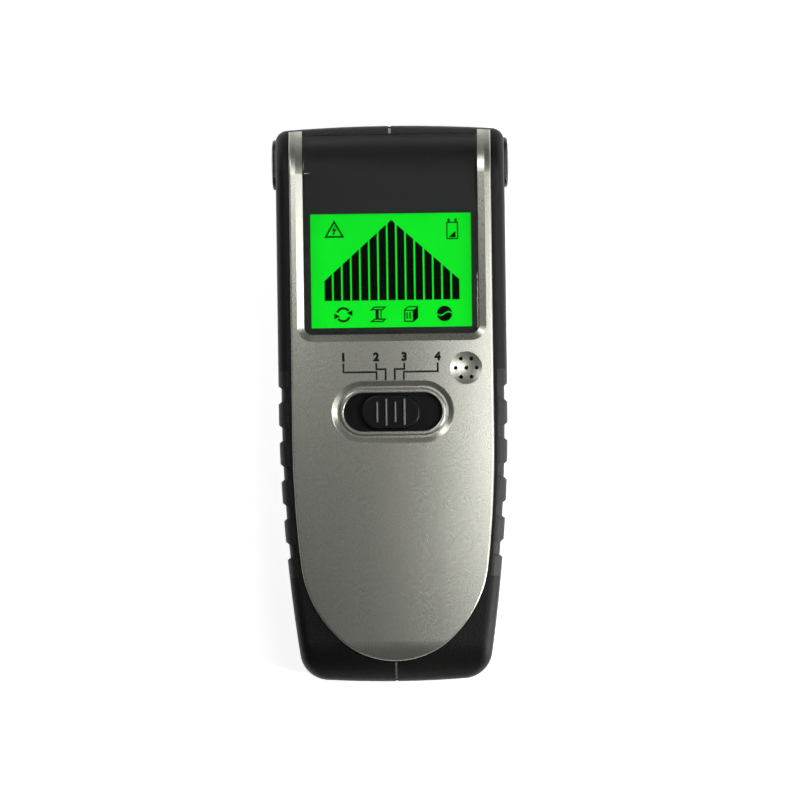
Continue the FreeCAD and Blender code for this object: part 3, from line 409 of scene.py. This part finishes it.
def printed(name, polygons, height, thickness, material, body="case"):
    """Thin raised ink: each polygon, in millimetres, becomes a slip that follows height(x, y)."""
    mesh = bpy.data.meshes.new(name)
    shape = bmesh.new()
    for polygon in polygons:
        corners = [shape.verts.new((x * MM, y * MM, 0)) for x, y in polygon]
        face = shape.faces.new(corners)
        face.normal_update()
        if face.normal.z < 0:
            face.normal_flip()
    bmesh.ops.remove_doubles(shape, verts=shape.verts, dist=1e-7)
    raised = bmesh.ops.extrude_face_region(shape, geom=list(shape.faces))
    top = {item for item in raised["geom"] if isinstance(item, bmesh.types.BMVert)}
    for vert in shape.verts:
        lift = thickness if vert in top else 0.0
        vert.co.z = height(vert.co.x / MM, vert.co.y / MM) * MM + lift * MM
    bmesh.ops.recalc_face_normals(shape, faces=shape.faces)
    shape.to_mesh(mesh)
    shape.free()
    mesh.materials.append(material)
    piece = bpy.data.objects.new(name, mesh)
    bpy.context.scene.collection.objects.link(piece)
    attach(piece, body)


def surface_height(node):
    """A function of x and y in millimetres that gives the top of a CAD node there."""
    mesh = NODES[node].data
    places = [vert.co for vert in mesh.vertices]
    tree = BVHTree.FromPolygons(places, [poly.vertices for poly in mesh.polygons])

    def height(x, y):
        hit = tree.ray_cast(Vector((x * MM, y * MM, RAY_START)), Vector((0, 0, -1)))[0]
        return hit.z / MM

    return height


# ---------------------------------------------------------------- display
# Heights are from the picture's middle. Each sign is drawn about a middle of its own.
PICTURE_SHIFT = 0.2       # the picture sits a little right of the glass's middle
BAR_COUNT = 15
BAR_PITCH = 2.6
BAR_WIDTH = 2.12
BAR_BASE = -8.3
BAR_LOWEST = -2.55        # the outermost bars' outer corners
BAR_SLOPE = 0.895         # how much the bars' tops rise for each millimetre inwards
TIP_HALF = 0.3            # half the flat on top of the middle bar
ICON_ROW = -12.3          # the middle of the four mode signs under the bars
WAVE_RADIUS = 2.2
WAVE_SWING = 0.5
WAVE_GAP = 0.34
WAVE_STEPS = 24
CHARGE_STEP = 0.45        # the battery sign's staircase of charge
CHARGE_RISE = 0.4


def bar_shapes():
    """Bars that rise to the middle under a straight slope each side, the middle one bluntly pointed."""
    shapes = []
    middle = BAR_COUNT // 2
    half = BAR_WIDTH / 2
    for index in range(BAR_COUNT):
        x = (index - middle) * BAR_PITCH
        outer = BAR_LOWEST + (middle - abs(index - middle)) * BAR_PITCH * BAR_SLOPE
        inner = outer + BAR_WIDTH * BAR_SLOPE
        if index == middle:
            shoulder = outer - 0.1
            tip = outer + 0.75
            crown = [(x + half, shoulder), (x + TIP_HALF, tip)]
            crown += [(x - TIP_HALF, tip), (x - half, shoulder)]
        elif index < middle:
            crown = [(x + half, inner), (x - half, outer)]
        else:
            crown = [(x + half, outer), (x - half, inner)]
        shapes.append([(x - half, BAR_BASE), (x + half, BAR_BASE), *crown])
    return shapes


def live_wire_icon():
    frame_lines = band([(-2.45, -2.15), (2.45, -2.15), (0, 2.1)], 0.5, closed=True)
    bolt = [
        [(0.45, 0.95), (-0.7, -0.5), (-0.1, -0.45), (0.1, 0.95)],
        [(0.8, 0.1), (0.05, 0.1), (-0.15, -0.45), (0.35, -0.4)],
        [(0.35, -0.4), (-0.1, -0.4), (-0.35, -1.05), (0.0, -1.05)],
        [(0.25, -1.0), (-0.3, -1.75), (-0.55, -0.95)],
    ]
    return frame_lines + bolt


def battery_icon():
    case = band([(-1.52, -2.32), (1.52, -2.32), (1.52, 2.32), (-1.52, 2.32)], 0.34, closed=True)
    studs = [[(x - 0.3, 2.5), (x + 0.3, 2.5), (x + 0.3, 3.4), (x - 0.3, 3.4)] for x in (-1.0, 1.0)]
    charge = []
    for index in range(4):
        left = -0.85 + index * CHARGE_STEP
        right = left + CHARGE_STEP
        top = -1.5 + index * CHARGE_RISE
        charge.append([(left, -1.95), (right, -1.95), (right, top), (left, top)])
    return case + studs + charge


def turn_icon():
    """Two arcs chasing each other, each ending in an arrow head."""
    shapes = []
    for sign in (1, -1):
        turn = 0 if sign == 1 else 180
        shapes += band(arc((0, 0), 1.85, 160 + turn, 35 + turn), 0.62)
        head = [(2.6, 1.25), (0.95, 0.55), (2.55, -0.45)]
        shapes.append([(sign * x, sign * y) for x, y in head])
    return shapes


def beam_icon():
    top = band([(-1.95, 1.35), (1.25, 1.35), (1.95, 2.05), (-1.1, 2.05)], 0.36, closed=True)
    foot = band([(-1.95, -2.05), (1.25, -2.05), (1.95, -1.4), (-1.1, -1.4)], 0.36, closed=True)
    web = [[(-0.8, -1.5), (0.1, -1.5), (0.1, 1.3), (-0.8, 1.3)]]
    return top + foot + web + band([(0.75, -1.35), (0.75, 1.25)], 0.3)


def stud_icon():
    front = band([(-1.9, -2.1), (0.6, -2.1), (0.6, 1.05), (-1.9, 1.05)], 0.36, closed=True)
    top = band([(-1.85, 1.2), (-0.9, 2.05), (1.9, 2.05)], 0.34)
    side = [[(0.75, -2.2), (1.95, -1.2), (1.95, 2.2), (0.75, 1.2)]]
    grain = []
    for x in (-1.1, -0.2):
        for shift, width in ((0, 0.26), (-0.35, 0.16)):
            left = x + shift
            line = [(left, -1.4), (left + 0.1, -0.8), (left - 0.05, -0.2), (left + 0.05, 0.45)]
            grain += band(line, width)
    return front + top + side + grain


def wave_icon():
    """A solid disc with a sine-shaped gap. Each half lies between an arc and the wave."""
    shapes = []
    for sign in (1, -1):
        wave, rim = [], []
        for index in range(WAVE_STEPS + 1):
            x = -WAVE_RADIUS + 2 * WAVE_RADIUS * index / WAVE_STEPS
            limit = math.sqrt(max(WAVE_RADIUS ** 2 - x ** 2, 0))
            y = WAVE_SWING * math.sin(math.pi * x / WAVE_RADIUS) + sign * WAVE_GAP / 2
            wave.append((x, max(-limit, min(limit, y))))
            rim.append((x, sign * limit))
        for index in range(WAVE_STEPS):
            quad = [wave[index], wave[index + 1], rim[index + 1], rim[index]]
            if abs(quad[0][1] - quad[3][1]) + abs(quad[1][1] - quad[2][1]) > 0.02:
                shapes.append(quad)
    return shapes


def build_display():
    low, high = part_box("lcd_glass")
    middle = (low + high) / 2 / MM
    middle.x += PICTURE_SHIFT
    top = high.z / MM + LCD_INK_GAP
    material = ink("lcd_ink", (0.0003, 0.0005, 0.0003), 0.8)
    pictures = (
        ("lcd_bars", bar_shapes(), 0.0, 0.0),
        ("lcd_live_sign", live_wire_icon(), -16.3, 12.15),
        ("lcd_battery_sign", battery_icon(), 17.4, 11.4),
        ("lcd_auto_sign", turn_icon(), -14.0, ICON_ROW),
        ("lcd_beam_sign", beam_icon(), -4.0, ICON_ROW),
        ("lcd_stud_sign", stud_icon(), 5.4, ICON_ROW),
        ("lcd_wave_sign", wave_icon(), 14.9, ICON_ROW),
    )
    for name, shapes, x, y in pictures:
        shapes = moved(shapes, middle.x + x, middle.y + y)
        printed(name, shapes, lambda x, y: top, LCD_INK_THICK, material)


# ---------------------------------------------------------------- mode legend
LEGEND_RISE = 14.5        # the numbers' baseline above the switch's middle
CAP_HEIGHT = 2.62
NUMBER_WEIGHT = 0.055     # how much the digits are thickened, for a size of 1
LINE_WIDTH = 0.5
LINE_STEP = 1.0           # the longest straight stretch, so that a line follows the crowned cover
POINTER_FIRST = -4.53     # the first pointer's x
POINTER_RISE = 9.15       # the pointers' lower ends above the switch's middle
NUMBER_GAP = 0.5          # between a number and its line
# Each number's x, and how far its line's level stretch is above the switch's middle.
LEADERS = ((-13.98, 11.45), (-4.58, 12.25), (3.42, 12.25), (12.97, 11.45))


def number_polygons(text, x, y):
    """A number as flat polygons, centred on x, standing on y and CAP_HEIGHT tall."""
    curve = bpy.data.curves.new("number", "FONT")
    curve.body = text
    curve.size = 1.0
    curve.resolution_u = 6
    curve.offset = NUMBER_WEIGHT
    holder = bpy.data.objects.new("number", curve)
    bpy.context.scene.collection.objects.link(holder)
    bpy.context.view_layer.update()
    depsgraph = bpy.context.evaluated_depsgraph_get()
    mesh = bpy.data.meshes.new_from_object(holder.evaluated_get(depsgraph))
    bpy.data.objects.remove(holder)
    xs = [vert.co.x for vert in mesh.vertices]
    ys = [vert.co.y for vert in mesh.vertices]
    middle = (max(xs) + min(xs)) / 2
    scale = CAP_HEIGHT / (max(ys) - min(ys))
    polygons = []
    for poly in mesh.polygons:
        corners = [mesh.vertices[index].co for index in poly.vertices]
        polygons.append([(x + (co.x - middle) * scale, y + (co.y - min(ys)) * scale) for co in corners])
    bpy.data.meshes.remove(mesh)
    return polygons


def in_short_steps(points):
    """The same route with extra points on it, none further than LINE_STEP from the next."""
    route = [points[0]]
    for start, end in zip(points, points[1:]):
        count = math.ceil(math.dist(start, end) / LINE_STEP)
        for index in range(1, count + 1):
            part = index / count
            route.append((start[0] + (end[0] - start[0]) * part, start[1] + (end[1] - start[1]) * part))
    return route


def build_legend():
    low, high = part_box("mode_switch_body")
    switch_y = (low.y + high.y) / 2 / MM
    height = surface_height("face_plate")
    material = ink("legend_ink", (0.002, 0.002, 0.002), 0.8)
    base = switch_y + LEGEND_RISE
    # The knob rests in its second position, so it can go back by one step.
    step = -frame["joints"][0]["range_m"][0] / MM
    top = base - NUMBER_GAP
    foot = switch_y + POINTER_RISE
    lines = []
    for index, (x, shelf) in enumerate(LEADERS):
        number = str(index + 1)
        shapes = number_polygons(number, x, base)
        printed("position_number_" + number, shapes, height, INK_THICK, material)
        pointer = POINTER_FIRST + index * step
        bend = switch_y + shelf
        route = [(x, top), (x, bend), (pointer, bend), (pointer, foot)]
        lines += band(in_short_steps(route), LINE_WIDTH)
    printed("legend_lines", lines, height, INK_THICK, material)


# ---------------------------------------------------------------- centre marks
def build_centre_marks():
    """The pale line in the centre groove at each end of the case."""
    height = surface_height("front_shell")
    lens_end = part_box("display_lens")[1].y / MM
    cover_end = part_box("face_plate")[0].y / MM
    low, high = (corner.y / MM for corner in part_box("front_shell"))
    # A plain pale colour along the groove's floor.
    material = ink("pale_line_tone", (0.36, 0.36, 0.34), 0.45)
    for name, start, end, width in (
        ("top_centre_mark", lens_end + 0.4, high - 0.7, 0.75),
        ("low_centre_mark", cover_end - 0.2, low + 0.7, 0.56),
    ):
        line = band(in_short_steps([(0, start), (0, end)]), width)
        printed(name, line, height, MARK_THICK, material)


# ---------------------------------------------------------------- stage, light and camera
FLOOR_HALF = 3.0          # metres
FLOOR_GLOW = 0.75         # a lit sweep, so that the object's shadow on it stays faint


def stage_floor():
    half = FLOOR_HALF
    mesh = bpy.data.meshes.new("floor")
    corners = [(-half, -half, 0), (half, -half, 0), (half, half, 0), (-half, half, 0)]
    mesh.from_pydata(corners, [], [(0, 1, 2, 3)])
    graph = Graph("floor_paper")
    tooth = graph.noise(0.8, 3.0)
    graph.set("Base Color", graph.blend(tooth, (0.90, 0.90, 0.90), (0.92, 0.92, 0.92)))
    graph.set("Roughness", 0.9)
    graph.set("Emission Color", (1.0, 1.0, 1.0, 1.0))
    graph.set("Emission Strength", FLOOR_GLOW)
    mesh.materials.append(graph.material)
    floor = bpy.data.objects.new("floor", mesh)
    bpy.context.scene.collection.objects.link(floor)


def soft_box(name, place, aim, size, radiance):
    """A rectangular soft light of that radiance, which the camera itself doesn't see."""
    light = bpy.data.lights.new(name, "AREA")
    light.shape = "RECTANGLE"
    light.size, light.size_y = size
    light.energy = radiance * math.pi * size[0] * size[1]
    lamp = bpy.data.objects.new(name, light)
    lamp.location = place
    lamp.rotation_euler = (Vector(aim) - Vector(place)).to_track_quat("-Z", "Y").to_euler()
    lamp.visible_camera = False
    bpy.context.scene.collection.objects.link(lamp)


OVERHEAD = 0.004          # the walls' radiance above, and at each side
WALL = 0.12
FAR_WALL = 0.60           # the wall beyond the sensor end
NEAR_WALL = 0.03          # and the one beyond the handle end
WALL_WHITE = (1.0, 1.0, 0.985, 1.0)
CAMERA_DISTANCE = 6.0     # metres
CAMERA_SPAN = 229.2       # the width it takes in
CAMERA_LEAN = 0.5         # degrees to the object's right
CAMERA_ROLL = -0.77
CAMERA_AIM = (1.94, 0.98, 13.0)
FRONT = (0.0, 0.0, 0.028)  # the middle of the front face, in metres
# Each soft box's name, place, aim, two sizes (all in metres) and radiance.
SOFT_BOXES = (
    ("key_light", (0.294, 0.00, 0.4325), FRONT, (0.08, 0.50), 8.5),
    ("near_left_light", (-0.145, 0.15, 0.24), (-0.02, 0.03, 0.028), (0.07, 0.12), 6.0),
    ("high_left_light", (-0.11, 0.10, 0.40), (-0.02, 0.01, 0.028), (0.05, 0.08), 10.0),
    ("heel_light", (0.39, -0.17, 0.15), (0.028, -0.045, 0.02), (0.08, 0.26), 26.0),
    ("top_panel", (0.00, 0.14, 0.36), (0.0, 0.14, 0.0), (0.36, 0.28), 0.02),
)


class WorldLight(NodeTree):
    """The world's node tree. Its place is the direction that a ray leaves in."""

    def __init__(self):
        self.world = bpy.data.worlds.new("studio")
        super().__init__(self.world)
        self.place = self.tree.nodes.new("ShaderNodeTexCoord").outputs["Generated"]

    def towards(self, x, y):
        """1 for a ray that goes along that level direction, 0 for one across it or away from it."""
        along = self.maths_vector("DOT_PRODUCT", self.place, (x, y, 0), output="Value")
        return self.maths("MAXIMUM", along, 0.0)


def studio_world():
    """Walls that are dark overhead and lighter near the horizon, most of all past the sensor end."""
    light = WorldLight()
    low_down = light.ramp(light.axis("Z"), 0.25, 0.75, 1.0, 0.0, smooth=True)
    far = light.towards(0, 1)
    near = light.towards(0, -1)
    wall = light.maths("MULTIPLY_ADD", light.maths("MULTIPLY", far, far), FAR_WALL - WALL, WALL)
    wall = light.maths("MULTIPLY_ADD", light.maths("MULTIPLY", near, near), NEAR_WALL - WALL, wall)
    level = light.maths("MULTIPLY_ADD", low_down, wall, OVERHEAD)
    back = light.tree.nodes["Background"]
    light.put(level, back.inputs["Strength"])
    light.put(WALL_WHITE, back.inputs["Color"])
    bpy.context.scene.world = light.world


def light_and_camera():
    studio_world()
    for box in SOFT_BOXES:
        soft_box(*box)
    view = bpy.context.scene.view_settings
    view.view_transform = "Standard"
    view.look = "None"
    camera = bpy.data.cameras.new("camera")
    camera.sensor_width = 36.0
    camera.lens = camera.sensor_width * CAMERA_DISTANCE / (CAMERA_SPAN * MM)
    camera.clip_start = 0.05
    camera.clip_end = 20
    holder = bpy.data.objects.new("camera", camera)
    lean = Matrix.Rotation(math.radians(CAMERA_LEAN), 3, "Y")
    turn = lean @ Matrix.Rotation(math.radians(CAMERA_ROLL), 3, "Z")
    holder.location = Vector(CAMERA_AIM) * MM + turn @ Vector((0, 0, CAMERA_DISTANCE))
    holder.rotation_euler = turn.to_euler()
    bpy.context.scene.collection.objects.link(holder)
    bpy.context.scene.camera = holder


dress_nodes()
bond_mask()
build_display()
build_legend()
build_centre_marks()
stage_floor()
light_and_camera()

import json
